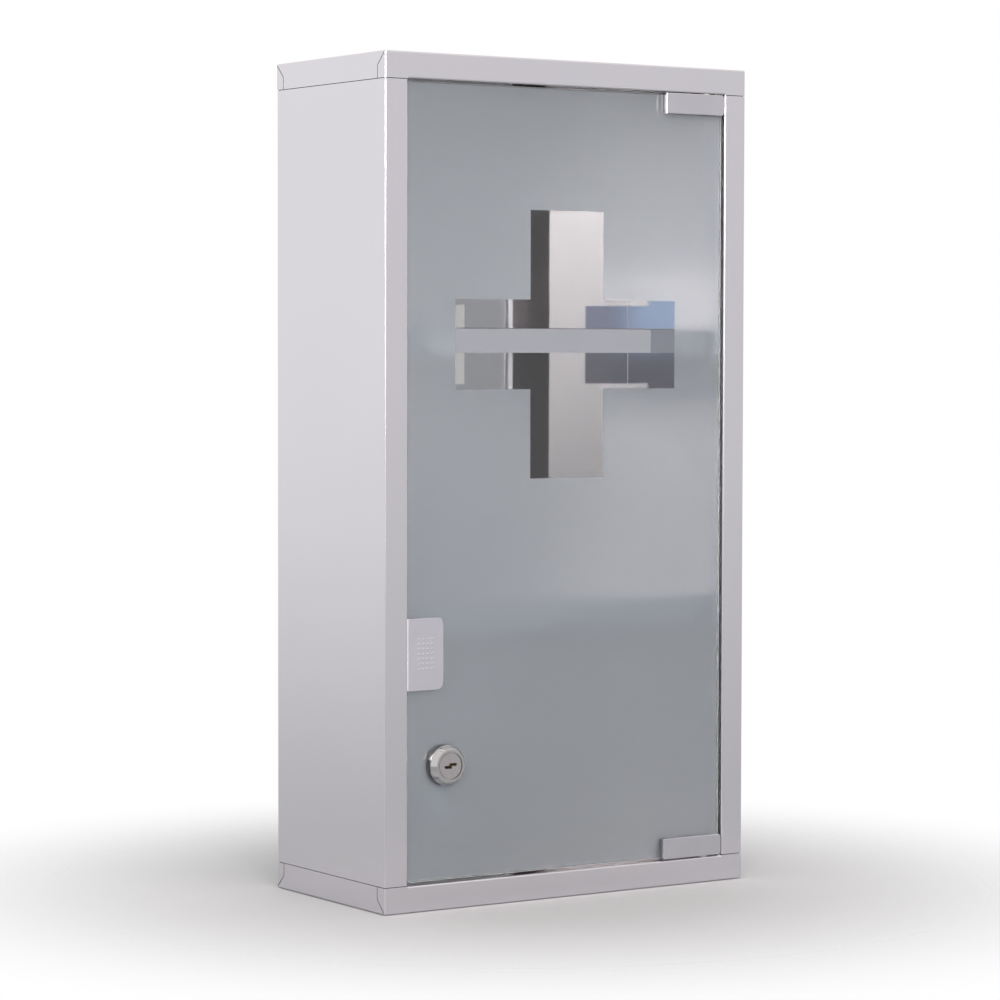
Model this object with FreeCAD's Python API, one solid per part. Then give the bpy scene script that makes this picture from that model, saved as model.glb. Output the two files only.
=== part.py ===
import FreeCAD, Part

import os

from FreeCAD import Vector

# Wall cabinet for medicines: a folded stainless steel case with two fixed shelves, closed by a frosted
# glass door that turns on two pivot clips, pops open at a push plate and locks with a key.
# Millimetres. The case is drawn with X to the right, Y as the depth behind the caps' front face and Z
# up from the underside. Each piece is moved in Y as it is written, which puts the origin under the
# middle of the whole.

# Case
WIDTH = 250.0
DEPTH = 120.0
HEIGHT = 480.0
SHEET = 0.6
BEND_INNER = 0.4
BEND_OUTER = BEND_INNER + SHEET
CAP_HEIGHT = 15.0
CAP_TAB = 8.0
CAP_SEAM = 0.5
CAP_LIP = 16.0
LIP_END_GAP = 0.2
STILE_WIDTH = 15.0
STILE_RETURN = 12.6
REAR_FLANGE = 12.0
BEND_GAP = 0.2
PANEL_SEAM = 0.4
PANEL_LAP = 1.4

# Wall fixing holes in the back
WALL_HOLE_D = 6.0
WALL_HOLE_FROM_SIDE = 35.0
WALL_HOLE_FROM_END = 50.0

# Shelves
UPPER_SHELF_FROM_TOP = 152.6
SHELF_ABOVE_LATCH = 3.1
SHELF_BEHIND_STILE = 5.4
SHELF_LIP = 14.2
SHELF_FLANGE = 10.0
SHELF_NOTCH = 4.0

# Door glass and its frosted film with a clear cross
GLASS_THICKNESS = 4.0
GLASS_RECESS = 2.0
GLASS_SIDE_GAP = 1.0
GLASS_CORNER = 1.5
GLASS_ARRIS = 0.3
FILM_THICKNESS = 0.2
FILM_BOND = 0.05
FILM_MARGIN = 0.3
CROSS_SPAN = 153.0
CROSS_ARM = 51.0
CROSS_FROM_TOP = 162.0
CROSS_X = 0.6

# Pivot clips that grip the glass
CLIP_LENGTH = 42.0
CLIP_HEIGHT = 12.2
CLIP_END_INSET = 0.2
CLIP_FRONT = 2.4
CLIP_BACK = 3.0
CLIP_WEB = 0.8
CLIP_CORNER = 2.0
CLIP_EDGE = 0.5
PAD_THICKNESS = 0.6
PAD_MARGIN = 1.0
PIVOT_INSET = 11.0
PIVOT_BEHIND_FACE = 2.2
PIVOT_D = 3.6
PIVOT_CLEARANCE = 0.05
BUSH_WALL = 0.85
BUSH_FLANGE_RIM = 0.8
UPPER_BUSH_FLANGE = 0.25
LOWER_BUSH_FLANGE = 0.7
UPPER_THRUST_GAP = 0.15
LOWER_THRUST_GAP = 0.1
BUSH_LENGTH = 5.0
BUSH_FIT = 0.05
CLAMP_SCREW_D = 4.0
CLAMP_SCREW_SPACING = 22.0
CLAMP_SCREW_PROUD = 0.6
CLAMP_SOCKET = 2.0
CLAMP_SOCKET_DEEP = 1.6
THREAD_GAP = 0.05

# Push plate folded round the free edge of the glass
PUSH_WIDTH = 24.0
PUSH_HEIGHT = 40.6
PUSH_Z = 144.7
PUSH_SHEET = 0.6
PUSH_BEND = 0.4
PUSH_CORNER = 4.2
TAPE_THICKNESS = 0.2
TAPE_MARGIN = 2.0
DOT_ROWS = 7
DOT_COLUMNS = 4
DOT_PITCH = 2.8
DOT_D = 1.5
DOT_HEIGHT = 0.12

# Cam lock
LOCK_FROM_EDGE = 25.8
LOCK_Z = 81.3
LOCK_BASE_D = 23.0
LOCK_FACE_D = 19.4
LOCK_HEAD = 5.0
LOCK_RIM = 1.2
LOCK_FACE_ROUND = 0.5
LOCK_GASKET = 0.4
BARREL_D = 16.4
BARREL_HOLE_GAP = 0.5
BARREL_PAST_NUT = 0.9
BARREL_END_GAP = 0.2
WASHER_D = 24.0
WASHER_THICKNESS = 0.8
NUT_ACROSS_FLATS = 21.0
NUT_THICKNESS = 4.0
PLUG_FACE_D = 14.6
PLUG_FACE_THICKNESS = 2.0
PLUG_FACE_RECESS = 0.3
PLUG_FACE_GAP = 0.4
PLUG_D = 12.6
PLUG_CLEARANCE = 0.06
PLUG_TAIL = 8.0
TAIL_CLEARANCE = 0.05
KEYWAY_LENGTH = 8.0
KEYWAY_SLOT = 1.7
KEYWAY_STEP = 1.4
KEYWAY_DEEP = 10.0
WAFER_COUNT = 4
WAFER_PITCH = 1.8
WAFER_THICKNESS = 0.9
WAFER_HEIGHT = 5.0
WAFER_GAP = 0.08
WAFER_END_GAP = 0.5
CAM_THICKNESS = 2.0
CAM_WIDTH = 14.0
CAM_CORNER = 3.5
CAM_OVERLAP = 6.2
CAM_CLEARANCE = 0.8
CAM_SCREW_D = 4.0
CAM_SCREW_LENGTH = 6.0
CAM_SCREW_HEAD_D = 9.6
CAM_SCREW_HEAD = 2.4
CAM_SCREW_SLOT = 1.2
CAM_SCREW_SLOT_DEEP = 1.2

# Magnetic push latch behind the push plate
LATCH_FROM_EDGE = 12.0
LATCH_REST_GAP = 0.3
LATCH_TRAVEL = 3.0
LATCH_STOP_GAP = 0.5
MAGNET_D = 8.0
MAGNET_THICKNESS = 2.5
MAGNET_FIT = 0.05
MAGNET_WALL = 0.95
MAGNET_FLOOR = 3.0
PLUNGER_D = 7.0
PLUNGER_LENGTH = 20.0
PLUNGER_CLEARANCE = 0.1
SPRING_LENGTH = 12.5
SPRING_WIRE = 0.8
SPRING_FIT = 0.1
HOUSING_WIDTH = 16.0
HOUSING_HEIGHT = 14.0
HOUSING_END = 17.0
HOUSING_EDGE = 1.0
BRACKET_SHEET = 1.0
BRACKET_BEND = 0.8
BRACKET_FOOT = 7.0
BRACKET_FRONT_INSET = 12.0
LATCH_SCREW_D = 3.0
LATCH_SCREW_GAP = 0.1
LATCH_SCREW_HEAD_D = 6.0
LATCH_SCREW_HEAD = 2.0
LATCH_SCREW_PAST = 1.5
LATCH_SCREW_PITCH = 8.0

# A cut reaches this far past what it cuts
PAST = 1.0

# Two places closer than this are the same
SAME = 1e-6

# Places that several pieces share
LOCK_PROUD = LOCK_HEAD - GLASS_RECESS
FRONT_Y = -(DEPTH - LOCK_PROUD) / 2
SIDE_OUT = WIDTH / 2
SIDE_IN = SIDE_OUT - SHEET
BACK_OUT = DEPTH
BACK_IN = BACK_OUT - SHEET
FLANGE_IN = BACK_IN - SHEET
OPENING_SIDE = WIDTH / 2 - STILE_WIDTH
OPENING_BOTTOM = CAP_HEIGHT
OPENING_TOP = HEIGHT - CAP_HEIGHT
PANEL_BOTTOM = CAP_HEIGHT + PANEL_SEAM
PANEL_TOP = HEIGHT - PANEL_BOTTOM
TAB_BOTTOM = BEND_OUTER + BEND_GAP
BACK_EDGE = SIDE_OUT - BEND_OUTER - BEND_GAP
SHELF_FRONT = STILE_RETURN + SHELF_BEHIND_STILE
GLASS_TOP_GAP = CLIP_WEB + UPPER_BUSH_FLANGE + UPPER_THRUST_GAP
GLASS_BOTTOM_GAP = CLIP_WEB + LOWER_BUSH_FLANGE + LOWER_THRUST_GAP
GLASS_LEFT = -OPENING_SIDE + GLASS_SIDE_GAP
GLASS_RIGHT = OPENING_SIDE - GLASS_SIDE_GAP
GLASS_BOTTOM = OPENING_BOTTOM + GLASS_BOTTOM_GAP
GLASS_TOP = OPENING_TOP - GLASS_TOP_GAP
GLASS_FRONT = GLASS_RECESS
GLASS_BACK = GLASS_FRONT + GLASS_THICKNESS
DOOR_BACK = GLASS_BACK + FILM_BOND + FILM_THICKNESS
CLIP_RIGHT = GLASS_RIGHT - CLIP_END_INSET
CLIP_LEFT = CLIP_RIGHT - CLIP_LENGTH
CLIP_FRONT_IN = GLASS_FRONT - PAD_THICKNESS
CLIP_FRONT_OUT = CLIP_FRONT_IN - CLIP_FRONT
CLIP_BACK_IN = DOOR_BACK + PAD_THICKNESS
CLIP_BACK_OUT = CLIP_BACK_IN + CLIP_BACK
CROSS_Z = HEIGHT - CROSS_FROM_TOP
PIVOT_X = CLIP_RIGHT - PIVOT_INSET
PIVOT_DEPTH = GLASS_FRONT + PIVOT_BEHIND_FACE
BUSH_D = PIVOT_D + 2 * (PIVOT_CLEARANCE + BUSH_WALL)
PUSH_FRONT = GLASS_FRONT - TAPE_THICKNESS - PUSH_SHEET
PUSH_BACK = DOOR_BACK + TAPE_THICKNESS + PUSH_SHEET
PUSH_LEFT = GLASS_LEFT - PUSH_SHEET
LOCK_X = GLASS_LEFT + LOCK_FROM_EDGE
LOCK_FACE = -LOCK_PROUD
NUT_BACK = DOOR_BACK + WASHER_THICKNESS + NUT_THICKNESS
CAM_FRONT = max(STILE_RETURN + CAM_CLEARANCE, NUT_BACK + BARREL_PAST_NUT + BARREL_END_GAP)
BARREL_END = CAM_FRONT - BARREL_END_GAP
CAM_REACH = LOCK_FROM_EDGE + GLASS_SIDE_GAP + CAM_OVERLAP
PLUG_SHOULDER = LOCK_FACE + PLUG_FACE_RECESS + PLUG_FACE_THICKNESS
KEYWAY_BOTTOM = LOCK_FACE + PLUG_FACE_RECESS + KEYWAY_DEEP
WAFER_LENGTH = (PLUG_D**2 - WAFER_HEIGHT**2) ** 0.5 - 2 * WAFER_END_GAP
LATCH_X = GLASS_LEFT + LATCH_FROM_EDGE
PLUNGER_HEAD_D = MAGNET_D + 2 * (MAGNET_FIT + MAGNET_WALL)
PLUNGER_HEAD = MAGNET_THICKNESS + MAGNET_FLOOR
MAGNET_FRONT = PUSH_BACK + LATCH_REST_GAP
PLUNGER_SHOULDER = MAGNET_FRONT + PLUNGER_HEAD
HOUSING_FRONT = PLUNGER_SHOULDER + LATCH_TRAVEL + LATCH_STOP_GAP
PLUNGER_END = HOUSING_FRONT + PLUNGER_LENGTH
SPRING_END = PLUNGER_END + SPRING_LENGTH
HOUSING_BACK = SPRING_END + HOUSING_END
HOUSING_LEFT = LATCH_X - HOUSING_WIDTH / 2
HOUSING_RIGHT = LATCH_X + HOUSING_WIDTH / 2
UPPER_SHELF_Z = HEIGHT - UPPER_SHELF_FROM_TOP
LOWER_SHELF_Z = PUSH_Z + HOUSING_HEIGHT / 2 + SHELF_ABOVE_LATCH + SHELF_LIP

AXES = "xyz"
ALONG_X, ALONG_Y, ALONG_Z = Vector(1, 0, 0), Vector(0, 1, 0), Vector(0, 0, 1)


# Basic shapes


def block(x, y, z):
    """Box over three (low, high) pairs."""
    size = [high - low for low, high in (x, y, z)]
    return Part.makeBox(*size, Vector(x[0], y[0], z[0]))


def rod(diameter, x, y, z):
    """Cylinder along the one axis that is given as a (start, end) pair."""
    place = {"x": x, "y": y, "z": z}
    axis = next(a for a in AXES if isinstance(place[a], tuple))
    start, end = place[axis]
    foot = Vector(*(start if a == axis else place[a] for a in AXES))
    direction = Vector(*(float(a == axis) for a in AXES)) * (end - start)
    return Part.makeCylinder(diameter / 2, direction.Length, foot, direction)


def prism(outline, axis, start, end):
    """Closed outline in the two other axes, in X, Y, Z order, drawn out along one axis."""
    at = AXES.index(axis)

    def corner(point):
        place = list(point)
        place.insert(at, start)
        return Vector(*place)

    corners = [corner(point) for point in outline]
    direction = Vector(*(float(a == axis) for a in AXES)) * (end - start)
    return Part.Face(Part.makePolygon(corners + corners[:1])).extrude(direction)


def apart(first, second):
    """Largest difference between the coordinates of two points."""
    return max(abs(a - b) for a, b in zip(first, second))


def edges_along(shape, axis, points=None):
    """Straight edges along one axis, at the given places in the two other axes or anywhere."""
    at = AXES.index(axis)
    found = []
    for edge in shape.Edges:
        if len(edge.Vertexes) != 2 or not isinstance(edge.Curve, Part.Line):
            continue
        ends = [list(vertex.Point) for vertex in edge.Vertexes]
        flat = [[v for i, v in enumerate(end) if i != at] for end in ends]
        if apart(*flat) > SAME:
            continue
        if points is None or any(apart(flat[0], point) < SAME for point in points):
            found.append(edge)
    return found


def offset_path(path, distance):
    """Open path moved to its right by a distance, corners kept sharp."""
    lines = []
    for (ax, ay), (bx, by) in zip(path, path[1:]):
        length = ((bx - ax) ** 2 + (by - ay) ** 2) ** 0.5
        along = ((bx - ax) / length, (by - ay) / length)
        lines.append(((ax + along[1] * distance, ay - along[0] * distance), along, length))
    moved = [lines[0][0]]
    for (p, u, _), (q, v, _) in zip(lines, lines[1:]):
        cross = u[0] * v[1] - u[1] * v[0]
        reach = ((q[0] - p[0]) * v[1] - (q[1] - p[1]) * v[0]) / cross
        moved.append((p[0] + u[0] * reach, p[1] + u[1] * reach))
    p, u, length = lines[-1]
    moved.append((p[0] + u[0] * length, p[1] + u[1] * length))
    return moved


def folded_sheet(path, thickness, bend, axis, start, end):
    """Sheet bent at each corner of a path, with its thickness on the path's right."""
    inside = offset_path(path, thickness)
    sheet = prism(path + inside[::-1], axis, start, end)
    tight, wide = [], []
    for before, corner, after, partner in zip(path, path[1:], path[2:], inside[1:]):
        turn = (corner[0] - before[0]) * (after[1] - corner[1])
        turn -= (corner[1] - before[1]) * (after[0] - corner[0])
        wide.append(corner if turn < 0 else partner)
        tight.append(partner if turn < 0 else corner)
    sheet = sheet.makeFillet(bend + thickness, edges_along(sheet, axis, wide))
    return sheet.makeFillet(bend, edges_along(sheet, axis, tight))


def rounded_block(x, y, z, radius):
    """Box with its upright edges and its top edges rounded."""
    solid = block(x, y, z)
    top = [(y[0], z[1]), (y[1], z[1])]
    sides = [(x[0], z[1]), (x[1], z[1])]
    edges = edges_along(solid, "z") + edges_along(solid, "x", top) + edges_along(solid, "y", sides)
    return solid.makeFillet(radius, edges)


def tray(x, y, top, height):
    """Folded plate with flanges turned down on all four sides."""
    outer = rounded_block(x, y, (top - height, top), BEND_OUTER)
    inside_x = (x[0] + SHEET, x[1] - SHEET)
    inside_y = (y[0] + SHEET, y[1] - SHEET)
    return outer.cut(rounded_block(inside_x, inside_y, (top - height - PAST, top - SHEET), BEND_INNER))


def in_both_halves(shape, middle, direction):
    """A shape together with its mirror image."""
    return shape.fuse(shape.mirror(middle, direction))


# Case


def cap_seams():
    """Slits that part the corner tabs of the front and rear flanges from the side flanges of the top cap."""
    path = [
        (BEND_OUTER, HEIGHT - BEND_OUTER),
        (CAP_TAB, HEIGHT - CAP_TAB),
        (CAP_TAB, OPENING_TOP - PAST),
    ]
    outline = offset_path(path, CAP_SEAM / 2) + offset_path(path, -CAP_SEAM / 2)[::-1]
    slit = prism(outline, "x", -WIDTH / 2 - PAST, -WIDTH / 2 + BEND_OUTER)
    slits = in_both_halves(slit, Vector(0, DEPTH / 2, 0), ALONG_Y)
    return in_both_halves(slits, Vector(0, 0, 0), ALONG_X)


def top_cap():
    """Tray over the top of the case, with a lip under its front that carries the upper pivot bush."""
    cap = tray((-WIDTH / 2, WIDTH / 2), (0, DEPTH), HEIGHT, CAP_HEIGHT).cut(cap_seams())
    lip_end = OPENING_SIDE - LIP_END_GAP
    lip_root = OPENING_TOP + 2 * BEND_OUTER
    cap = cap.cut(block((-lip_end, lip_end), (-PAST, SHEET), (OPENING_TOP - PAST, lip_root)))
    path = [(CAP_LIP, OPENING_TOP), (0, OPENING_TOP), (0, lip_root)]
    lip = folded_sheet(path, SHEET, BEND_INNER, "x", -lip_end, lip_end)
    seat_ends = (OPENING_TOP - PAST, OPENING_TOP + SHEET + PAST)
    seat = rod(BUSH_D + 2 * BUSH_FIT, PIVOT_X, PIVOT_DEPTH, seat_ends)
    return cap.fuse(lip).removeSplitter().cut(seat)


def bottom_cap():
    return top_cap().mirror(Vector(0, 0, HEIGHT / 2), ALONG_Z)


def tab_heights():
    """Heights of the tabs by which the panels reach into the bottom cap and the top cap."""
    low, high = TAB_BOTTOM, PANEL_BOTTOM + PANEL_LAP
    return [(low, high), (HEIGHT - high, HEIGHT - low)]


def left_side_panel():
    """Side wall, front stile, its return and a rear flange from one sheet, with set-in tabs for the caps."""
    path = [
        (-OPENING_SIDE, STILE_RETURN),
        (-OPENING_SIDE, 0),
        (-SIDE_OUT, 0),
        (-SIDE_OUT, BACK_IN),
        (-SIDE_OUT + REAR_FLANGE, BACK_IN),
    ]
    panel = folded_sheet(path, SHEET, BEND_INNER, "z", PANEL_BOTTOM, PANEL_TOP)
    tab_path = [(-OPENING_SIDE, SHEET), (-SIDE_IN, SHEET), (-SIDE_IN, BACK_IN - BEND_OUTER)]
    for low, high in tab_heights():
        panel = panel.fuse(folded_sheet(tab_path, SHEET, BEND_INNER, "z", low, high))
    return panel.removeSplitter()


def back_panel():
    """Flat back over the rear flanges of the sides, with set-in tabs and four holes for wall screws."""
    panel = block((-BACK_EDGE, BACK_EDGE), (BACK_IN, BACK_OUT), (PANEL_BOTTOM, PANEL_TOP))
    tab_side = SIDE_OUT - REAR_FLANGE - BEND_GAP
    for height in tab_heights():
        panel = panel.fuse(block((-tab_side, tab_side), (FLANGE_IN, BACK_IN), height))
    hole_x = WIDTH / 2 - WALL_HOLE_FROM_SIDE
    for x in (-hole_x, hole_x):
        for z in (WALL_HOLE_FROM_END, HEIGHT - WALL_HOLE_FROM_END):
            panel = panel.cut(rod(WALL_HOLE_D, x, (BACK_IN - PAST, BACK_OUT + PAST), z))
    return panel


def shelf(top):
    """Shelf with a deep front lip, welded to the sides by its shorter side flanges."""
    plate = tray((-SIDE_IN, SIDE_IN), (SHELF_FRONT, FLANGE_IN), top, SHELF_LIP)
    across = (-SIDE_IN - PAST, SIDE_IN + PAST)
    behind_lip = (SHELF_FRONT + SHELF_NOTCH, FLANGE_IN + PAST)
    return plate.cut(block(across, behind_lip, (top - SHELF_LIP - PAST, top - SHELF_FLANGE)))


# Door


def lock_hole(start, end):
    return rod(BARREL_D + 2 * BARREL_HOLE_GAP, LOCK_X, (start - PAST, end + PAST), LOCK_Z)


def door_glass():
    """Tempered pane with ground edges and a hole for the lock."""
    pane = block((GLASS_LEFT, GLASS_RIGHT), (GLASS_FRONT, GLASS_BACK), (GLASS_BOTTOM, GLASS_TOP))
    pane = pane.makeFillet(GLASS_CORNER, edges_along(pane, "y"))
    rim = [face for face in pane.Faces if abs(abs(face.normalAt(0, 0).y) - 1) < SAME]
    pane = pane.makeChamfer(GLASS_ARRIS, [edge for face in rim for edge in face.Edges])
    return pane.cut(lock_hole(GLASS_FRONT, GLASS_BACK))


def frosted_film():
    """Frosted layer on the back of the pane, open at the clear cross."""
    front, back = GLASS_BACK + FILM_BOND, DOOR_BACK
    across = (GLASS_LEFT + FILM_MARGIN, GLASS_RIGHT - FILM_MARGIN)
    film = block(across, (front, back), (GLASS_BOTTOM + FILM_MARGIN, GLASS_TOP - FILM_MARGIN))
    through = (front - PAST, back + PAST)
    for width, height in ((CROSS_SPAN, CROSS_ARM), (CROSS_ARM, CROSS_SPAN)):
        arm_x = (CROSS_X - width / 2, CROSS_X + width / 2)
        film = film.cut(block(arm_x, through, (CROSS_Z - height / 2, CROSS_Z + height / 2)))
    return film.cut(lock_hole(front, back))


def span(a, b):
    """Low and high of two values in either order."""
    return min(a, b), max(a, b)


def clamp_screw_places(edge, up):
    """Centres of the clamp screws of the clip on one edge of the glass, as (x, z)."""
    middle = (CLIP_LEFT + CLIP_RIGHT) / 2
    z = edge - up * (CLIP_HEIGHT - CLIP_WEB) / 2
    return [(middle + side * CLAMP_SCREW_SPACING / 2, z) for side in (-1, 1)]


def hinge_clip(edge, up, edge_gap):
    """Channel over the top (up = 1) or bottom (up = -1) edge of the glass, with the pivot on its web."""
    web_out = edge + up * CLIP_WEB
    far = web_out - up * CLIP_HEIGHT
    clip = block((CLIP_LEFT, CLIP_RIGHT), (CLIP_FRONT_OUT, CLIP_BACK_OUT), span(web_out, far))
    clip = clip.makeFillet(CLIP_CORNER, edges_along(clip, "y", [(CLIP_RIGHT, web_out), (CLIP_RIGHT, far)]))
    front = [face for face in clip.Faces if abs(face.normalAt(0, 0).y + 1) < SAME]
    clip = clip.makeFillet(CLIP_EDGE, front[0].Edges)
    across = (CLIP_LEFT - PAST, CLIP_RIGHT + PAST)
    clip = clip.cut(block(across, (CLIP_FRONT_IN, CLIP_BACK_IN), span(edge, far - up * PAST)))
    for x, z in clamp_screw_places(edge, up):
        hole = rod(CLAMP_SCREW_D + 2 * THREAD_GAP, x, (CLIP_BACK_IN - PAST, CLIP_BACK_OUT + PAST), z)
        clip = clip.cut(hole)
    lip_face = edge + up * edge_gap
    return clip.fuse(rod(PIVOT_D, PIVOT_X, PIVOT_DEPTH, (web_out, lip_face + up * BUSH_LENGTH)))


def hinge_pads(edge, up):
    """Soft pads between the clip and the two faces of the door."""
    across = (CLIP_LEFT + PAD_MARGIN, CLIP_RIGHT - PAD_MARGIN)
    height = span(edge - up * PAD_MARGIN, edge + up * (CLIP_WEB + PAD_MARGIN - CLIP_HEIGHT))
    front = block(across, (CLIP_FRONT_IN, GLASS_FRONT), height)
    back = block(across, (DOOR_BACK, CLIP_BACK_IN), height)
    return Part.makeCompound([front, back])


def clamp_screw(x, z):
    """Headless socket screw that presses the back pad on the door."""
    end = CLIP_BACK_OUT + CLAMP_SCREW_PROUD
    screw = rod(CLAMP_SCREW_D, x, (CLIP_BACK_IN, end), z)
    socket = hexagon_rod(CLAMP_SOCKET, x, z, end - CLAMP_SOCKET_DEEP, end + PAST)
    return screw.cut(socket)


def hinge_clamp_screws():
    places = clamp_screw_places(GLASS_TOP, 1) + clamp_screw_places(GLASS_BOTTOM, -1)
    return Part.makeCompound([clamp_screw(x, z) for x, z in places])


def pivot_bush(lip_face, up, flange):
    """Plastic bush pressed into a cap's lip, with a thin flange under the clip."""
    bush = rod(BUSH_D, PIVOT_X, PIVOT_DEPTH, (lip_face, lip_face + up * BUSH_LENGTH))
    flange_d = BUSH_D + 2 * BUSH_FLANGE_RIM
    collar = rod(flange_d, PIVOT_X, PIVOT_DEPTH, (lip_face - up * flange, lip_face))
    bore_ends = (lip_face - up * (flange + PAST), lip_face + up * (BUSH_LENGTH + PAST))
    return bush.fuse(collar).cut(rod(PIVOT_D + 2 * PIVOT_CLEARANCE, PIVOT_X, PIVOT_DEPTH, bore_ends))


def push_plate():
    """Steel clip round the free edge of the glass, with a grid of raised dots to push on."""
    right = PUSH_LEFT + PUSH_WIDTH
    path = [(right, PUSH_FRONT), (PUSH_LEFT, PUSH_FRONT), (PUSH_LEFT, PUSH_BACK), (right, PUSH_BACK)]
    bottom, top = PUSH_Z - PUSH_HEIGHT / 2, PUSH_Z + PUSH_HEIGHT / 2
    plate = folded_sheet(path, PUSH_SHEET, PUSH_BEND, "z", bottom, top)
    corners = [edge for edge in edges_along(plate, "y") if edge.CenterOfMass.x > right - PAST]
    plate = plate.makeFillet(PUSH_CORNER, corners)
    dot_x = (GLASS_LEFT + right) / 2
    for column in range(DOT_COLUMNS):
        for row in range(DOT_ROWS):
            x = dot_x + (column - (DOT_COLUMNS - 1) / 2) * DOT_PITCH
            z = PUSH_Z + (row - (DOT_ROWS - 1) / 2) * DOT_PITCH
            plate = plate.fuse(dot(x, z))
    return plate


def dot(x, z):
    """Shallow dome standing on the front of the push plate."""
    ball = ((DOT_D / 2) ** 2 + DOT_HEIGHT**2) / (2 * DOT_HEIGHT)
    centre = Vector(x, PUSH_FRONT - DOT_HEIGHT + ball, z)
    keep = rod(DOT_D, x, (PUSH_FRONT - DOT_HEIGHT, PUSH_FRONT + PUSH_SHEET / 2), z)
    return Part.makeSphere(ball, centre).common(keep)


def push_plate_tape():
    """Bonding tape between the push plate and the two faces of the door."""
    across = (GLASS_LEFT + TAPE_MARGIN, PUSH_LEFT + PUSH_WIDTH - TAPE_MARGIN)
    height = (PUSH_Z - PUSH_HEIGHT / 2 + TAPE_MARGIN, PUSH_Z + PUSH_HEIGHT / 2 - TAPE_MARGIN)
    front = block(across, (GLASS_FRONT - TAPE_THICKNESS, GLASS_FRONT), height)
    back = block(across, (DOOR_BACK, DOOR_BACK + TAPE_THICKNESS), height)
    return Part.makeCompound([front, back])


# Lock


def turned(outline):
    """Solid of revolution about the lock's axis from (radius, depth) points."""
    points = [Vector(LOCK_X + radius, y, LOCK_Z) for radius, y in outline]
    face = Part.Face(Part.makePolygon(points + points[:1]))
    return face.revolve(Vector(LOCK_X, 0, LOCK_Z), ALONG_Y, 360)


def hexagon_rod(across_flats, x, z, start, end):
    """Hexagonal bar along the depth."""
    corner = across_flats / 3**0.5
    outline = []
    for k in range(6):
        spoke = FreeCAD.Rotation(ALONG_Z, 60 * k).multVec(Vector(corner, 0, 0))
        outline.append((x + spoke.x, z + spoke.y))
    return prism(outline, "y", start, end)


def lock_barrel():
    """Tapered head in front of the glass and a threaded body through it, bored for the plug."""
    base, face = LOCK_BASE_D / 2, LOCK_FACE_D / 2
    head_back = GLASS_FRONT - LOCK_GASKET
    outline = [
        (0, LOCK_FACE),
        (face - LOCK_FACE_ROUND, LOCK_FACE),
        (face, LOCK_FACE + LOCK_FACE_ROUND),
        (base, head_back - LOCK_RIM),
        (base, head_back),
        (BARREL_D / 2, head_back),
        (BARREL_D / 2, BARREL_END),
        (0, BARREL_END),
    ]
    barrel = turned(outline)
    bore = rod(PLUG_D + 2 * PLUG_CLEARANCE, LOCK_X, (LOCK_FACE - PAST, BARREL_END + PAST), LOCK_Z)
    counterbore_d = PLUG_FACE_D + 2 * PLUG_FACE_GAP
    counterbore = rod(counterbore_d, LOCK_X, (LOCK_FACE - PAST, PLUG_SHOULDER + PLUG_CLEARANCE), LOCK_Z)
    return barrel.cut(bore).cut(counterbore)


def lock_ring(outer_d, start, end):
    """Flat ring round the barrel."""
    ring = rod(outer_d, LOCK_X, (start, end), LOCK_Z)
    return ring.cut(rod(BARREL_D + 2 * THREAD_GAP, LOCK_X, (start - PAST, end + PAST), LOCK_Z))


def lock_nut():
    """Hexagonal nut that clamps the barrel on the glass."""
    start = DOOR_BACK + WASHER_THICKNESS
    nut = hexagon_rod(NUT_ACROSS_FLATS, LOCK_X, LOCK_Z, start, NUT_BACK)
    thread = rod(BARREL_D + 2 * THREAD_GAP, LOCK_X, (start - PAST, NUT_BACK + PAST), LOCK_Z)
    return nut.cut(thread)


def keyway():
    """Crooked slot for the key: two offset stretches that overlap in the middle."""
    half, slot, step = KEYWAY_LENGTH / 2, KEYWAY_SLOT / 2, KEYWAY_STEP / 2
    deep = (LOCK_FACE - PAST, KEYWAY_BOTTOM)
    left = block((LOCK_X - half, LOCK_X + slot), deep, (LOCK_Z - step - slot, LOCK_Z - step + slot))
    right = block((LOCK_X - slot, LOCK_X + half), deep, (LOCK_Z + step - slot, LOCK_Z + step + slot))
    return left.fuse(right)


def wafer_starts():
    """Depths at which the wafers of the lock begin, from the shoulder of the plug."""
    return [PLUG_SHOULDER + WAFER_THICKNESS + k * WAFER_PITCH for k in range(WAFER_COUNT)]


def lock_plug():
    """Core that the key turns, slotted for the wafers, with a square tail for the cam."""
    face = rod(PLUG_FACE_D, LOCK_X, (LOCK_FACE + PLUG_FACE_RECESS, PLUG_SHOULDER), LOCK_Z)
    core = rod(PLUG_D, LOCK_X, (PLUG_SHOULDER, CAM_FRONT), LOCK_Z)
    half = PLUG_TAIL / 2
    tail_end = CAM_FRONT + CAM_THICKNESS - TAIL_CLEARANCE
    tail = block((LOCK_X - half, LOCK_X + half), (CAM_FRONT, tail_end), (LOCK_Z - half, LOCK_Z + half))
    plug = face.fuse(core).fuse(tail).cut(keyway())
    for start in wafer_starts():
        across = (LOCK_X - PLUG_D / 2 - PAST, LOCK_X + PLUG_D / 2 + PAST)
        deep = (start - WAFER_GAP, start + WAFER_THICKNESS + WAFER_GAP)
        half_height = WAFER_HEIGHT / 2 + WAFER_GAP
        plug = plug.cut(block(across, deep, (LOCK_Z - half_height, LOCK_Z + half_height)))
    screw_end = CAM_FRONT + CAM_THICKNESS - CAM_SCREW_LENGTH
    thread = rod(CAM_SCREW_D + 2 * THREAD_GAP, LOCK_X, (screw_end - THREAD_GAP, tail_end + PAST), LOCK_Z)
    return plug.cut(thread)


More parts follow.
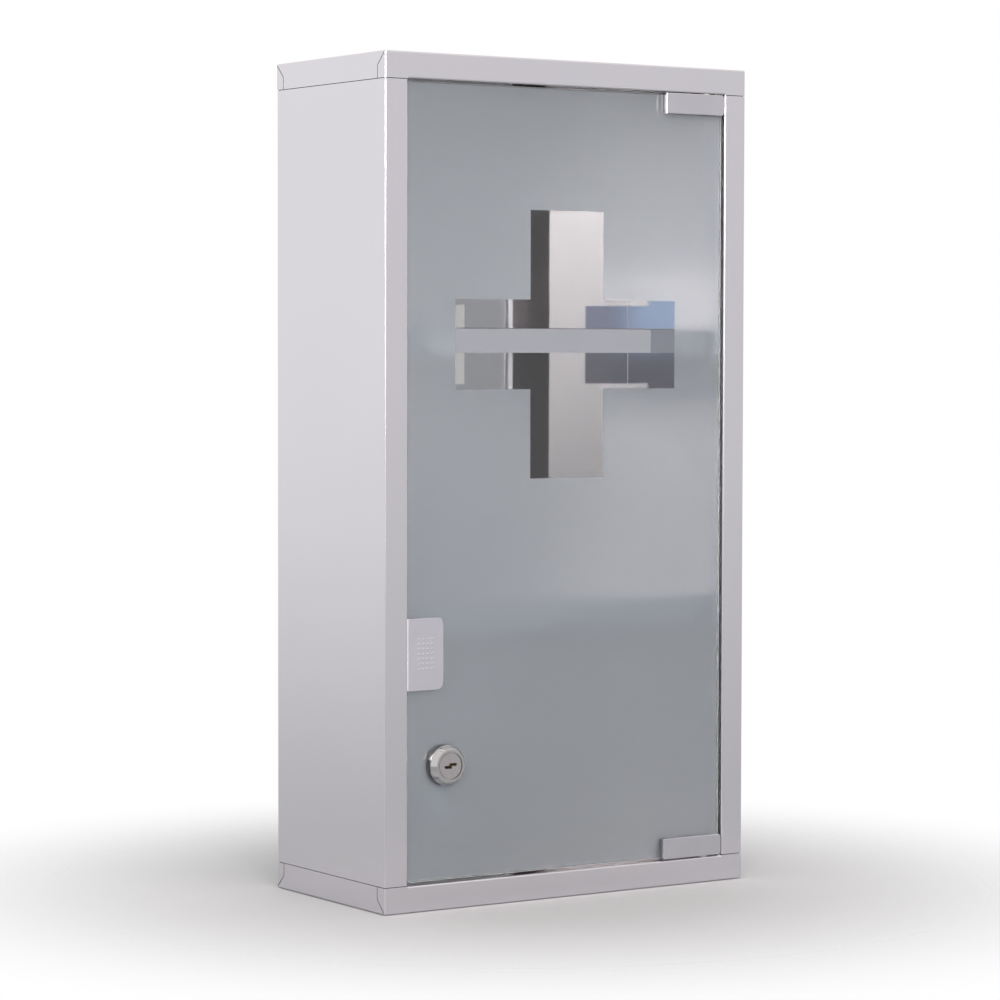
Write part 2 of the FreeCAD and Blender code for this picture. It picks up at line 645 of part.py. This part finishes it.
def lock_wafers():
    """Sliding plates inside the plug, each with a window for the key."""
    wafers = []
    for start in wafer_starts():
        across = (LOCK_X - WAFER_LENGTH / 2, LOCK_X + WAFER_LENGTH / 2)
        deep = (start, start + WAFER_THICKNESS)
        plate = block(across, deep, (LOCK_Z - WAFER_HEIGHT / 2, LOCK_Z + WAFER_HEIGHT / 2))
        wafers.append(plate.cut(keyway()))
    return Part.makeCompound(wafers)


def lock_cam():
    """Flat tongue on the tail of the plug, hanging down while the door is unlocked."""
    half = CAM_WIDTH / 2
    y = (CAM_FRONT, CAM_FRONT + CAM_THICKNESS)
    blade = block((LOCK_X - half, LOCK_X + half), y, (LOCK_Z - CAM_REACH, LOCK_Z + half))
    blade = blade.makeFillet(CAM_CORNER, edges_along(blade, "y"))
    hole = PLUG_TAIL / 2 + TAIL_CLEARANCE
    through = (y[0] - PAST, y[1] + PAST)
    return blade.cut(block((LOCK_X - hole, LOCK_X + hole), through, (LOCK_Z - hole, LOCK_Z + hole)))


def cam_screw():
    """Screw that holds the cam on the plug."""
    seat = CAM_FRONT + CAM_THICKNESS
    top = seat + CAM_SCREW_HEAD
    shank = rod(CAM_SCREW_D, LOCK_X, (seat - CAM_SCREW_LENGTH, seat), LOCK_Z)
    head = rod(CAM_SCREW_HEAD_D, LOCK_X, (seat, top), LOCK_Z)
    half = CAM_SCREW_HEAD_D / 2
    slot = CAM_SCREW_SLOT / 2
    groove = (top - CAM_SCREW_SLOT_DEEP, top + PAST)
    level = block((LOCK_X - half, LOCK_X + half), groove, (LOCK_Z - slot, LOCK_Z + slot))
    upright = block((LOCK_X - slot, LOCK_X + slot), groove, (LOCK_Z - half, LOCK_Z + half))
    return shank.fuse(head).cut(level).cut(upright)


# Latch


def latch_screw_depths():
    """Depths of the two screws, in the solid stretch behind the spring."""
    middle = (SPRING_END + HOUSING_BACK) / 2
    return [middle - LATCH_SCREW_PITCH / 2, middle + LATCH_SCREW_PITCH / 2]


def latch_bracket():
    """Hat-shaped bracket welded to the left side, which holds the latch behind the push plate."""
    wall, bridge = -SIDE_IN, HOUSING_LEFT
    front = HOUSING_FRONT + BRACKET_FRONT_INSET
    path = [
        (wall + BRACKET_SHEET, HOUSING_BACK + BRACKET_FOOT),
        (wall + BRACKET_SHEET, HOUSING_BACK),
        (bridge, HOUSING_BACK),
        (bridge, front),
        (wall + BRACKET_SHEET, front),
        (wall + BRACKET_SHEET, front - BRACKET_FOOT),
    ]
    half = HOUSING_HEIGHT / 2
    bracket = folded_sheet(path, BRACKET_SHEET, BRACKET_BEND, "z", PUSH_Z - half, PUSH_Z + half)
    for y in latch_screw_depths():
        hole_d = LATCH_SCREW_D + 2 * LATCH_SCREW_GAP
        bracket = bracket.cut(rod(hole_d, (bridge - BRACKET_SHEET - PAST, bridge + PAST), y, PUSH_Z))
    return bracket


def latch_housing():
    """Moulded body with the plunger's bore and two screw holes."""
    half = HOUSING_HEIGHT / 2
    height = (PUSH_Z - half, PUSH_Z + half)
    body = block((HOUSING_LEFT, HOUSING_RIGHT), (HOUSING_FRONT, HOUSING_BACK), height)
    body = body.makeFillet(HOUSING_EDGE, edges_along(body, "y"))
    bore = rod(PLUNGER_D + 2 * PLUNGER_CLEARANCE, LATCH_X, (HOUSING_FRONT - PAST, SPRING_END), PUSH_Z)
    body = body.cut(bore)
    for y in latch_screw_depths():
        hole_d = LATCH_SCREW_D + 2 * LATCH_SCREW_GAP
        body = body.cut(rod(hole_d, (HOUSING_LEFT - PAST, HOUSING_RIGHT + PAST), y, PUSH_Z))
    return body


def latch_plunger():
    """Sliding rod with a wider head that carries the magnet."""
    head = rod(PLUNGER_HEAD_D, LATCH_X, (MAGNET_FRONT, PLUNGER_SHOULDER), PUSH_Z)
    stem = rod(PLUNGER_D, LATCH_X, (PLUNGER_SHOULDER, PLUNGER_END), PUSH_Z)
    pocket_d = MAGNET_D + 2 * MAGNET_FIT
    pocket = rod(pocket_d, LATCH_X, (MAGNET_FRONT - PAST, MAGNET_FRONT + MAGNET_THICKNESS), PUSH_Z)
    return head.fuse(stem).cut(pocket)


def latch_magnet():
    return rod(MAGNET_D, LATCH_X, (MAGNET_FRONT, MAGNET_FRONT + MAGNET_THICKNESS), PUSH_Z)


def latch_spring():
    """Sleeve over the space of the coil spring that is closed inside the housing."""
    outer = PLUNGER_D - 2 * SPRING_FIT
    sleeve = rod(outer, LATCH_X, (PLUNGER_END, SPRING_END), PUSH_Z)
    return sleeve.cut(rod(outer - 2 * SPRING_WIRE, LATCH_X, (PLUNGER_END - PAST, SPRING_END + PAST), PUSH_Z))


def latch_screws():
    """Two screws through the housing into the bracket."""
    screws = []
    for y in latch_screw_depths():
        tip = HOUSING_LEFT - BRACKET_SHEET - LATCH_SCREW_PAST
        shank = rod(LATCH_SCREW_D, (tip, HOUSING_RIGHT), y, PUSH_Z)
        head = rod(LATCH_SCREW_HEAD_D, (HOUSING_RIGHT, HOUSING_RIGHT + LATCH_SCREW_HEAD), y, PUSH_Z)
        screws.append(shank.fuse(head))
    return Part.makeCompound(screws)


def pieces():
    """Every piece of the cabinet by name."""
    left = left_side_panel()
    return {
        "top_cap": top_cap(),
        "bottom_cap": bottom_cap(),
        "left_side_panel": left,
        "right_side_panel": left.mirror(Vector(0, 0, 0), ALONG_X),
        "back_panel": back_panel(),
        "upper_shelf": shelf(UPPER_SHELF_Z),
        "lower_shelf": shelf(LOWER_SHELF_Z),
        "upper_pivot_bush": pivot_bush(OPENING_TOP, 1, UPPER_BUSH_FLANGE),
        "lower_pivot_bush": pivot_bush(OPENING_BOTTOM, -1, LOWER_BUSH_FLANGE),
        "door_glass": door_glass(),
        "frosted_film": frosted_film(),
        "upper_hinge_clip": hinge_clip(GLASS_TOP, 1, GLASS_TOP_GAP),
        "lower_hinge_clip": hinge_clip(GLASS_BOTTOM, -1, GLASS_BOTTOM_GAP),
        "upper_hinge_pads": hinge_pads(GLASS_TOP, 1),
        "lower_hinge_pads": hinge_pads(GLASS_BOTTOM, -1),
        "hinge_clamp_screws": hinge_clamp_screws(),
        "push_plate": push_plate(),
        "push_plate_tape": push_plate_tape(),
        "lock_barrel": lock_barrel(),
        "lock_gasket": lock_ring(LOCK_BASE_D, GLASS_FRONT - LOCK_GASKET, GLASS_FRONT),
        "lock_washer": lock_ring(WASHER_D, DOOR_BACK, DOOR_BACK + WASHER_THICKNESS),
        "lock_nut": lock_nut(),
        "lock_plug": lock_plug(),
        "lock_wafers": lock_wafers(),
        "lock_cam": lock_cam(),
        "cam_screw": cam_screw(),
        "latch_bracket": latch_bracket(),
        "latch_housing": latch_housing(),
        "latch_plunger": latch_plunger(),
        "latch_magnet": latch_magnet(),
        "latch_spring": latch_spring(),
        "latch_screws": latch_screws(),
    }


def main():
    os.makedirs("parts", exist_ok=True)
    for name, shape in pieces().items():
        shape = shape.copy()
        shape.translate(Vector(0, FRONT_Y, 0))
        print(name, len(shape.Solids), shape.isValid(), round(shape.Volume, 1))
        shape.exportStep(f"parts/{name}.step")


main()
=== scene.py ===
import math

import bpy
from mathutils import Matrix, Vector


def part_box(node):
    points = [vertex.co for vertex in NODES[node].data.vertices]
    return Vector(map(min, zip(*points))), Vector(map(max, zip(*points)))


# Looks of the wall cabinet: satin stainless steel outside, bright steel inside, a frosted glass door with a
# clear cross, satin clips and a chrome lock, on a pale floor in a soft studio. Metres, in the frame of the
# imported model.

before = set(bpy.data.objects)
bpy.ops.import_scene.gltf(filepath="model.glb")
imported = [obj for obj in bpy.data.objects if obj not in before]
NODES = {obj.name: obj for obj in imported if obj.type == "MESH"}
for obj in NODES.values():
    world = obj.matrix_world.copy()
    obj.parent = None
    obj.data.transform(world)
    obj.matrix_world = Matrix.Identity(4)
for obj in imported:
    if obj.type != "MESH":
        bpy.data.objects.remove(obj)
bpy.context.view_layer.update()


def colour(red, green, blue):
    return (red, green, blue, 1.0)


WHITE = colour(1.0, 1.0, 1.0)

# Camera, fitted to the corners of the case in the photograph
CAMERA_PLACE = Vector((-1.1183, -1.6718, 0.3172))
CAMERA_YAW = math.radians(-33.55)
CAMERA_PITCH = math.radians(-2.58)
CAMERA_ROLL = math.radians(-0.11)
CAMERA_SENSOR = 36.0
CAMERA_LENS = 123.2
CAMERA_NEAR = 0.05
CAMERA_FAR = 50.0

# Sheet steel of the case
SHEET = 0.0006
CASE_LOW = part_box("top_cap")[0].copy()
CASE_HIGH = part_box("top_cap")[1].copy()
CASE_LOW.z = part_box("bottom_cap")[0].z
STILE_WIDTH = 0.015
OPENING_SIDE = CASE_HIGH.x - STILE_WIDTH
OPENING_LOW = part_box("bottom_cap")[1].z
OPENING_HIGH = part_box("top_cap")[0].z
LIP_DEPTH = 0.016
PANEL_SEAM = 0.0004
PANEL_LOW = OPENING_LOW + PANEL_SEAM
PANEL_HIGH = OPENING_HIGH - PANEL_SEAM

# Finish of the sheet steel, with painted shade in the seams and round the door's gap, and noise in cells per
# metre
GRAIN_ACROSS = 2600.0
GRAIN_ALONG = 22.0
GRAINS = {
    "x": (GRAIN_ALONG, GRAIN_ACROSS, GRAIN_ACROSS),
    "z": (GRAIN_ACROSS, GRAIN_ACROSS, GRAIN_ALONG),
}
GRAIN_DEPTH = 0.000004
STEEL_CLOUD = 9.0
STEEL_WAVE = 14.0
WAVE_DEPTH = 0.00006
SATIN_STEEL = colour(0.715, 0.70, 0.735)
BRIGHT_STEEL = colour(0.65, 0.61, 0.595)
SHELF_STEEL = colour(0.535, 0.525, 0.56)
# Painted shade: darker steel on the inner faces round the door's gap, standing for the shade there
SHADED_GAP_STEEL = colour(0.31, 0.30, 0.305)
CLOUD_SHADE = colour(0.96, 0.96, 0.96)
# Painted shade: near black on the panels' tabs where they show through the seams' slits
SEAM_SHADE = colour(0.03, 0.03, 0.035)
SATIN_ROUGHNESS = (0.18, 0.24)
BRIGHT_ROUGHNESS = (0.02, 0.05)

# Other finishes
METAL_CLOUD = 60.0
METAL_DARK_SHARE = 0.9
PLASTIC_CLOUD = 90.0
PLASTIC_DARK_SHARE = 0.88
GLASS_TINT = colour(0.95, 0.975, 0.975)
GLASS_IOR = 1.5
GLASS_CLOUD = 25.0
GLASS_ROUGHNESS = (0.0, 0.012)
GLASS_FACE = 0.9
GROUND_EDGE = 0.5
FILM_DEEP = colour(0.875, 0.925, 0.985)
FILM_PALE = colour(0.90, 0.945, 1.0)
FILM_GRAIN = 3000.0
FILM_CLOUD = 18.0
FILM_ROUGHNESS = (0.49, 0.57)
FILM_TRANSMISSION = 0.84
FILM_IOR = 1.45

# Floor
FLOOR_DROP = 0.0003
FLOOR_RADIUS = 0.42
FLOOR_FADE = 0.11
FLOOR_CORNERS = 128
FLOOR_CLOUD = 3.0
FLOOR_DEEP = colour(0.375, 0.388, 0.402)
FLOOR_PALE = colour(0.405, 0.418, 0.432)
FLOOR_ROUGHNESS = 0.9

# Dome of the studio: reaches are heights of a direction, or cosines to the direction named
DOME_BELOW = colour(0.50, 0.495, 0.50)
DOME_SIDES = colour(1.0, 0.99, 0.995)
DOME_FRONT_RIGHT = colour(0.80, 0.785, 0.805)
DOME_CEILING = colour(1.0, 0.96, 0.945)
HORIZON_REACH = (-0.17, -0.03)
CEILING_REACH = (0.12, 0.55)
FRONT_RIGHT = Vector((0.55, -0.83, 0.0))
FRONT_RIGHT_REACH = (0.3, 0.9)
BEHIND = Vector((0.55, 0.83, -0.05))
BEHIND_REACH = (0.90, 0.97)

# Card behind the camera: the splits are shares of its width and height, from its middle
CARD_DISTANCE = 2.6
CARD_SIZE = (0.8, 1.6)
CARD_DEEP_BLUE = colour(0.21, 0.26, 0.405)
CARD_PALE_BLUE = colour(0.44, 0.62, 0.955)
CARD_SLATE = colour(0.10, 0.11, 0.155)
CARD_SPLIT_ACROSS = (0.015, 0.03)
CARD_SPLIT_UP = (-0.015, 0.015)
CARD_STRENGTH = 1.7

# Lamps, aimed at the middle of the cabinet
LAMP_AIM = Vector((0, 0, 0.24))
LAMPS = {
    "softbox_front": {
        "spot": Vector((-1.22, -1.83, 0.87)),
        "size": (1.3, 0.7),
        "power": 48.0,
        "tint": (1.0, 0.93, 0.90),
    },
    "softbox_high": {
        "spot": Vector((-0.1, -1.7, 1.9)),
        "size": (1.4, 1.0),
        "power": 20.0,
        "tint": (1.0, 0.86, 0.78),
    },
}

# Bounces of light, enough for the steel inside to be seen through the glass
ALL_BOUNCES = 32
GLOSSY_BOUNCES = 16
TRANSMISSION_BOUNCES = 24


# Node helpers


def add_node(tree, kind, values=None, **settings):
    """New shader node with its settings, and with values or links on its inputs."""
    made = tree.nodes.new("ShaderNode" + kind)
    for name, value in settings.items():
        setattr(made, name, value)
    for name, value in (values or {}).items():
        put(tree, made.inputs[name], value)
    return made


def put(tree, socket, value):
    """Links an output to an input, or sets the input's own value."""
    if isinstance(value, bpy.types.NodeSocket):
        tree.links.new(value, socket)
    else:
        socket.default_value = value


def calculate(tree, operation, first, second=0.0):
    return add_node(tree, "Math", {0: first, 1: second}, operation=operation).outputs[0]


def vector_math(tree, operation, first, second):
    return add_node(tree, "VectorMath", {0: first, 1: second}, operation=operation).outputs


def largest(tree, values):
    result = values[0]
    for value in values[1:]:
        result = calculate(tree, "MAXIMUM", result, value)
    return result


def product(tree, values):
    result = values[0]
    for value in values[1:]:
        result = calculate(tree, "MULTIPLY", result, value)
    return result


def between(tree, factor, low, high):
    """Number that goes from low to high with a factor."""
    made = add_node(tree, "MapRange", {"Value": factor, "To Min": low, "To Max": high})
    return made.outputs["Result"]


def ramp(tree, value, start, end):
    """Smooth step from 0 to 1 while a value goes from start to end."""
    inputs = {"Value": value, "From Min": start, "From Max": end}
    made = add_node(tree, "MapRange", inputs, interpolation_type="SMOOTHSTEP")
    return made.outputs["Result"]


def mixed(tree, factor, first, second, blend="MIX"):
    """Colour between two colours, or another blend of them."""
    made = add_node(tree, "Mix", data_type="RGBA", blend_type=blend)
    put(tree, made.inputs[0], factor)
    put(tree, made.inputs[6], first)
    put(tree, made.inputs[7], second)
    return made.outputs[2]


def darker(base, share):
    return colour(*(share * part for part in base[:3]))


def place(tree, scale=(1.0, 1.0, 1.0)):
    """Place on the piece, in metres in the model's frame at rest, stretched by a scale."""
    coordinates = add_node(tree, "TexCoord")
    mapping = add_node(tree, "Mapping", {"Vector": coordinates.outputs["Object"], "Scale": scale})
    return mapping.outputs["Vector"]


def noise(tree, cells, detail):
    """Noise over a piece, with one number of cells per metre, or one for each axis."""
    scale = cells if isinstance(cells, tuple) else (cells, cells, cells)
    inputs = {"Vector": place(tree, scale), "Scale": 1.0, "Detail": detail}
    return add_node(tree, "TexNoise", inputs).outputs["Fac"]


def bump(tree, height, distance, normal=None):
    inputs = {"Height": height, "Distance": distance, "Strength": 1.0}
    if normal is not None:
        inputs["Normal"] = normal
    return add_node(tree, "Bump", inputs).outputs["Normal"]


def new_material(name):
    material = bpy.data.materials.new(name)
    material.use_nodes = True
    return material, material.node_tree, material.node_tree.nodes["Principled BSDF"]


def set_inputs(tree, shader, **values):
    for name, value in values.items():
        put(tree, shader.inputs[name.replace("_", " ")], value)


def set_surface(tree, shader):
    """Makes a shader the one that the material shows."""
    tree.links.new(shader.outputs[0], tree.nodes["Material Output"].inputs["Surface"])


# Materials


def outer_side(tree):
    """1 on the sides of the sheets that face out of the case, and 0 on those that face into it. The stiles'
    returns, which face the opening, count as outer, and the caps' lips don't."""
    half = SHEET / 2
    coordinates = add_node(tree, "TexCoord").outputs
    ahead = add_node(tree, "VectorMath", {0: coordinates["Normal"]}, operation="SCALE")
    ahead.inputs["Scale"].default_value = half
    probe = vector_math(tree, "ADD", coordinates["Object"], ahead.outputs[0])[0]
    x, y, z = add_node(tree, "SeparateXYZ", {0: probe}).outputs
    x = calculate(tree, "ABSOLUTE", x)
    case = [
        calculate(tree, "GREATER_THAN", x, CASE_HIGH.x - half),
        calculate(tree, "LESS_THAN", y, CASE_LOW.y + half),
        calculate(tree, "GREATER_THAN", y, CASE_HIGH.y - half),
        calculate(tree, "LESS_THAN", z, CASE_LOW.z + half),
        calculate(tree, "GREATER_THAN", z, CASE_HIGH.z - half),
    ]
    opening = [
        calculate(tree, "LESS_THAN", x, OPENING_SIDE + half),
        calculate(tree, "LESS_THAN", y, CASE_LOW.y + LIP_DEPTH + half),
        calculate(tree, "GREATER_THAN", z, OPENING_LOW + SHEET),
        calculate(tree, "LESS_THAN", z, OPENING_HIGH - SHEET),
    ]
    return largest(tree, case + [product(tree, opening)])


def painted_seam_mask(tree):
    """1 on the outer faces of the panels' tabs behind the caps, which show only through the seams' slits,
    where they are painted near black as the seams' shade.
    """
    coordinates = add_node(tree, "TexCoord").outputs
    level = vector_math(tree, "MULTIPLY", coordinates["Normal"], (1, 1, 0))[0]
    facing = vector_math(tree, "DOT_PRODUCT", coordinates["Object"], level)["Value"]
    z = add_node(tree, "SeparateXYZ", {0: coordinates["Object"]}).outputs["Z"]
    ends = [calculate(tree, "LESS_THAN", z, PANEL_LOW), calculate(tree, "GREATER_THAN", z, PANEL_HIGH)]
    return product(tree, [largest(tree, ends), calculate(tree, "GREATER_THAN", facing, 0.0)])


def steel(name, grain, inside=False, bright_base=BRIGHT_STEEL, seams=False):
    """Stainless steel: brushed to a satin outside, bright inside, and satin-rough with a darker base behind
    the stiles and the caps' fronts, where the darker base is painted shade of the gap round the door. A
    piece that lies inside the case has no outer side."""
    material, tree, shader = new_material(name)
    side = 0.0 if inside else outer_side(tree)
    lines = noise(tree, GRAINS[grain], detail=3.0)
    cloud = noise(tree, STEEL_CLOUD, detail=3.0)
    wave = noise(tree, STEEL_WAVE, detail=1.0)
    satin = between(tree, lines, *SATIN_ROUGHNESS)
    bright = between(tree, cloud, *BRIGHT_ROUGHNESS)
    y = add_node(tree, "SeparateXYZ", {0: place(tree)}).outputs["Y"]
    dull_and_shaded = calculate(tree, "LESS_THAN", y, CASE_LOW.y + LIP_DEPTH)
    roughness = add_node(tree, "Mix", {0: largest(tree, [side, dull_and_shaded]), 2: bright, 3: satin}).outputs[0]
    brushed = calculate(tree, "MULTIPLY", lines, side)
    normal = bump(tree, brushed, GRAIN_DEPTH, bump(tree, wave, WAVE_DEPTH))
    shade = mixed(tree, cloud, CLOUD_SHADE, WHITE)
    # Painted shade: the panels' tabs in the seams' slits are painted near black
    if seams:
        shade = mixed(tree, painted_seam_mask(tree), shade, SEAM_SHADE)
    # Painted shade: the inner faces round the door's gap take the darker steel
    base = mixed(tree, side, mixed(tree, dull_and_shaded, bright_base, SHADED_GAP_STEEL), SATIN_STEEL)
    base = mixed(tree, 1.0, base, shade, blend="MULTIPLY")
    set_inputs(tree, shader, Base_Color=base, Roughness=roughness, Normal=normal, Metallic=1.0)
    return material


def metal(name, base, rough, cells, depth=0.0):
    """Plated or turned metal with a fine grain in its roughness."""
    material, tree, shader = new_material(name)
    grain = noise(tree, cells, detail=3.0)
    cloud = noise(tree, METAL_CLOUD, detail=2.0)
    inputs = {
        "Base_Color": mixed(tree, cloud, darker(base, METAL_DARK_SHARE), base),
        "Roughness": between(tree, grain, *rough),
        "Metallic": 1.0,
    }
    if depth:
        inputs["Normal"] = bump(tree, grain, depth)
    set_inputs(tree, shader, **inputs)
    return material


def plastic(name, base, rough, cells, depth):
    """Moulded plastic or rubber with a fine texture."""
    material, tree, shader = new_material(name)
    grain = noise(tree, cells, detail=4.0)
    cloud = noise(tree, PLASTIC_CLOUD, detail=2.0)
    inputs = {
        "Base_Color": mixed(tree, cloud, darker(base, PLASTIC_DARK_SHARE), base),
        "Roughness": between(tree, grain, *rough),
        "Normal": bump(tree, grain, depth),
    }
    set_inputs(tree, shader, **inputs)
    return material


def clear_glass(name):
    """Float glass, faintly green, with a trace of unevenness on its faces and ground edges."""
    material, tree, shader = new_material(name)
    smear = between(tree, noise(tree, GLASS_CLOUD, detail=3.0), *GLASS_ROUGHNESS)
    facing = add_node(tree, "SeparateXYZ", {0: add_node(tree, "TexCoord").outputs["Normal"]}).outputs["Y"]
    face = calculate(tree, "GREATER_THAN", calculate(tree, "ABSOLUTE", facing), GLASS_FACE)
    roughness = add_node(tree, "Mix", {0: face, 2: GROUND_EDGE, 3: smear}).outputs[0]
    set_inputs(tree, shader, Base_Color=GLASS_TINT, Roughness=roughness)
    set_inputs(tree, shader, Transmission_Weight=1.0, IOR=GLASS_IOR)
    return material


def frosting(name):
    """Frosted layer that scatters the light going through it."""
    material, tree, shader = new_material(name)
    grain = noise(tree, FILM_GRAIN, detail=2.0)
    cloud = noise(tree, FILM_CLOUD, detail=3.0)
    base = mixed(tree, cloud, FILM_DEEP, FILM_PALE)
    set_inputs(tree, shader, Base_Color=base, Roughness=between(tree, grain, *FILM_ROUGHNESS))
    set_inputs(tree, shader, Transmission_Weight=FILM_TRANSMISSION, IOR=FILM_IOR)
    return material


def dress():
    """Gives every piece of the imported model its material."""
    upright = steel("steel_upright", "z", seams=True)
    level = steel("steel_level", "x")
    inner = steel("steel_inner", "x", inside=True, bright_base=SHELF_STEEL)
    pushed = metal("push_steel", colour(0.665, 0.655, 0.705), rough=(0.36, 0.44), cells=2500.0)
    plated = metal("satin_plate", colour(0.62, 0.615, 0.645), rough=(0.20, 0.28), cells=2500.0)
    chrome = metal("lock_chrome", colour(0.58, 0.575, 0.58), rough=(0.03, 0.07), cells=900.0)
    plug = metal(
        "lock_plug_face", colour(0.52, 0.50, 0.50),
        rough=(0.22, 0.34), cells=3000.0, depth=0.000004,
    )
    zinc = metal(
        "zinc_fastener", colour(0.66, 0.66, 0.68),
        rough=(0.22, 0.36), cells=1500.0, depth=0.000006,
    )
    magnet = metal(
        "magnet_dark", colour(0.16, 0.16, 0.17),
        rough=(0.45, 0.60), cells=2500.0, depth=0.00001,
    )
    brass = metal("wafer_brass", colour(0.75, 0.60, 0.33), rough=(0.25, 0.35), cells=2500.0)
    rubber = plastic(
        "pad_rubber", colour(0.045, 0.045, 0.05),
        rough=(0.55, 0.75), cells=2200.0, depth=0.00003,
    )
    pad = plastic("pad_grey", colour(0.30, 0.31, 0.33), rough=(0.40, 0.55), cells=2200.0, depth=0.00002)
    nylon = plastic(
        "bush_nylon", colour(0.70, 0.70, 0.68),
        rough=(0.38, 0.50), cells=1800.0, depth=0.00001,
    )
    latch = plastic(
        "latch_plastic", colour(0.78, 0.78, 0.77),
        rough=(0.35, 0.48), cells=2200.0, depth=0.00002,
    )
    glass = clear_glass("door_glass_clear")
    film = frosting("frosted_layer")
    finishes = {
        upright: ["left_side_panel", "right_side_panel", "back_panel"],
        level: ["top_cap", "bottom_cap"],
        inner: ["upper_shelf", "lower_shelf", "latch_bracket"],
        pushed: ["push_plate"],
        plated: ["upper_hinge_clip", "lower_hinge_clip"],
        chrome: ["lock_barrel", "lock_nut"],
        plug: ["lock_plug"],
        zinc: ["hinge_clamp_screws", "lock_washer", "lock_cam", "cam_screw", "latch_spring", "latch_screws"],
        magnet: ["latch_magnet"],
        brass: ["lock_wafers"],
        rubber: ["push_plate_tape", "lock_gasket"],
        pad: ["upper_hinge_pads", "lower_hinge_pads"],
        nylon: ["upper_pivot_bush", "lower_pivot_bush"],
        latch: ["latch_housing", "latch_plunger"],
        glass: ["door_glass"],
        film: ["frosted_film"],
    }
    for material, names in finishes.items():
        for name in names:
            slots = NODES[name].data.materials
            slots.clear()
            slots.append(material)


# Studio


def make_camera():
    data = bpy.data.cameras.new("camera")
    data.sensor_width = CAMERA_SENSOR
    data.lens = CAMERA_LENS
    data.clip_start = CAMERA_NEAR
    data.clip_end = CAMERA_FAR
    camera = bpy.data.objects.new("camera", data)
    bpy.context.scene.collection.objects.link(camera)
    turn = Matrix.Rotation(CAMERA_YAW, 3, "Z") @ Matrix.Rotation(CAMERA_PITCH, 3, "X")
    turn = turn @ Matrix.Rotation(CAMERA_ROLL, 3, "Y")
    right, forward, up = (turn.col[k] for k in range(3))
    axes = Matrix((right, up, -forward)).transposed().to_4x4()
    camera.matrix_world = Matrix.Translation(CAMERA_PLACE) @ axes
    bpy.context.scene.camera = camera


def make_floor():
    """Pale round floor that fades out towards its edge."""
    bpy.ops.mesh.primitive_circle_add(vertices=FLOOR_CORNERS, radius=FLOOR_RADIUS, fill_type="NGON")
    floor = bpy.context.object
    floor.name = "floor"
    floor.location.z = -FLOOR_DROP
    material, tree, shader = new_material("floor_pale")
    cloud = noise(tree, FLOOR_CLOUD, detail=3.0)
    base = mixed(tree, cloud, FLOOR_DEEP, FLOOR_PALE)
    set_inputs(tree, shader, Base_Color=base, Roughness=FLOOR_ROUGHNESS)
    distance = add_node(tree, "VectorMath", {0: place(tree)}, operation="LENGTH").outputs["Value"]
    fade = ramp(tree, distance, FLOOR_FADE, FLOOR_RADIUS)
    clear = add_node(tree, "BsdfTransparent")
    faded = add_node(tree, "MixShader", {0: fade, 1: shader.outputs[0], 2: clear.outputs[0]})
    set_surface(tree, faded)
    floor.data.materials.append(material)


def make_world():
    """Studio dome: white behind the cabinet, greyer below and at the front right, warmer above."""
    world = bpy.data.worlds.new("studio")
    bpy.context.scene.world = world
    world.use_nodes = True
    tree = world.node_tree
    direction = add_node(tree, "TexCoord").outputs["Generated"]
    height = add_node(tree, "SeparateXYZ", {0: direction}).outputs["Z"]

    def towards(aim, reach):
        cosine = vector_math(tree, "DOT_PRODUCT", direction, aim.normalized())["Value"]
        return ramp(tree, cosine, *reach)

    rise = ramp(tree, height, *HORIZON_REACH)
    sky = mixed(tree, rise, DOME_BELOW, DOME_SIDES)
    right = mixed(tree, rise, DOME_BELOW, DOME_FRONT_RIGHT)
    sky = mixed(tree, towards(FRONT_RIGHT, FRONT_RIGHT_REACH), sky, right)
    sky = mixed(tree, ramp(tree, height, *CEILING_REACH), sky, DOME_CEILING)
    sky = mixed(tree, towards(BEHIND, BEHIND_REACH), sky, WHITE)
    background = tree.nodes["Background"]
    put(tree, background.inputs["Color"], sky)
    background.inputs["Strength"].default_value = 1.0


def make_card():
    """Card behind the camera that the mirror steel inside shows: two blues above, slate below."""
    bpy.ops.mesh.primitive_plane_add(size=1.0)
    card = bpy.context.object
    card.name = "card"
    away = Vector((CAMERA_PLACE.x, CAMERA_PLACE.y, 0.0)).normalized()
    card.location = away * CARD_DISTANCE + Vector((0, 0, CAMERA_PLACE.z))
    card.rotation_euler = (-away).to_track_quat("Z", "Y").to_euler()
    card.scale = (*CARD_SIZE, 1.0)
    card.visible_camera = False
    material, tree, shader = new_material("card_light")
    spot = add_node(tree, "SeparateXYZ", {0: place(tree)}).outputs
    upper = mixed(tree, ramp(tree, spot["X"], *CARD_SPLIT_ACROSS), CARD_DEEP_BLUE, CARD_PALE_BLUE)
    glow = mixed(tree, ramp(tree, spot["Y"], *CARD_SPLIT_UP), CARD_SLATE, upper)
    emission = add_node(tree, "Emission", {"Color": glow, "Strength": CARD_STRENGTH})
    tree.nodes.remove(shader)
    set_surface(tree, emission)
    card.data.materials.append(material)


def make_lamp(name, spot, size, power, tint):
    data = bpy.data.lights.new(name, "AREA")
    data.shape = "RECTANGLE"
    data.size, data.size_y = size
    data.energy = power
    data.color = tint
    lamp = bpy.data.objects.new(name, data)
    bpy.context.scene.collection.objects.link(lamp)
    lamp.location = spot
    lamp.rotation_euler = (LAMP_AIM - spot).to_track_quat("-Z", "Y").to_euler()
    lamp.visible_camera = False


def make_studio():
    make_camera()
    make_floor()
    make_world()
    make_card()
    for name, lamp in LAMPS.items():
        make_lamp(name, **lamp)
    scene = bpy.context.scene
    scene.view_settings.view_transform = "Standard"
    scene.cycles.max_bounces = ALL_BOUNCES
    scene.cycles.glossy_bounces = GLOSSY_BOUNCES
    scene.cycles.transmission_bounces = TRANSMISSION_BOUNCES


dress()
make_studio()
